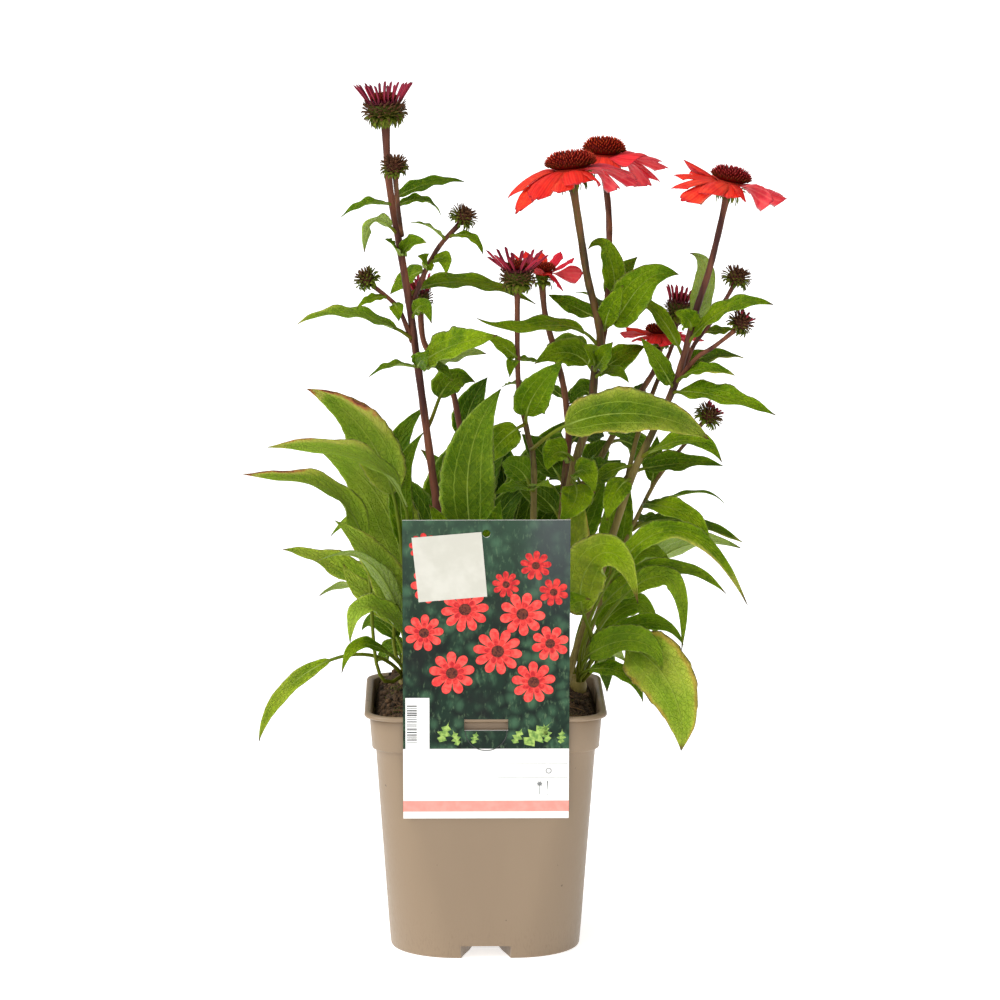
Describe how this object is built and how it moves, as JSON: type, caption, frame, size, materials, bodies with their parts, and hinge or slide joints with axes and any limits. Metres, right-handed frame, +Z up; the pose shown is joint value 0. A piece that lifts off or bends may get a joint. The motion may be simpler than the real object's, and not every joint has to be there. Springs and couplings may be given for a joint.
{
  "type": "purple coneflower plant",
  "caption": "Flowering coneflower plant in a square tapered nursery pot, with orange-red blooms, young heads, buds and a hanging label card.",
  "frame": {"origin": "on the surface, under the middle of the whole plant's bounding box", "axes": "+Z up, the front with the label card faces -Y, +X to the viewer's right"},
  "size_m": [0.3352, 0.2186, 0.5418],
  "materials": {
    "pot": "satin moulded plastic",
    "soil": "rough, crumbly peat",
    "label": "printed plastic card, satin",
    "leaf": "satin leaf with sunken veins",
    "bract": "matte, finely haired",
    "bud": "matte, finely haired",
    "ray": "satin petal with fine ribs",
    "young_ray": "satin",
    "cone": "bristly, satin"
  },
  "bodies": {
    "root": {"pot": "pot", "label_card": "label", "stem_tall_left": "leaf", "stem_young_left": "leaf", "stem_front": "leaf", "stem_centre_back": "leaf", "stem_centre": "leaf", "stem_right": "leaf", "stem_right_back": "leaf", "stem_low_right": "leaf", "clump_left": "leaf", "clump_front": "leaf", "clump_right": "leaf", "clump_back": "leaf", "soil": "soil", "bloom_centre_bracts": "bract", "bloom_centre_rays": "ray", "bloom_centre_cone": "cone", "bloom_back_bracts": "bract", "bloom_back_rays": "ray", "bloom_back_cone": "cone", "bloom_right_bracts": "bract", "bloom_right_rays": "ray", "bloom_right_cone": "cone", "bloom_small_bracts": "bract", "bloom_small_rays": "ray", "bloom_small_cone": "cone", "bloom_opening_bracts": "bract", "bloom_opening_rays": "ray", "bloom_opening_cone": "cone", "young_top_bracts": "bract", "young_top_rays": "young_ray", "young_top_cone": "cone", "young_left_bracts": "bract", "young_left_rays": "young_ray", "young_left_cone": "cone", "young_front_bracts": "bract", "young_front_rays": "young_ray", "young_front_cone": "cone", "young_right_bracts": "bract", "young_right_rays": "young_ray", "young_right_cone": "cone", "bud_top": "bud", "bud_branch": "bud", "bud_left": "bud", "bud_right_upper": "bud", "bud_right_lower": "bud", "bud_low": "bud"}
  },
  "joints": []
}
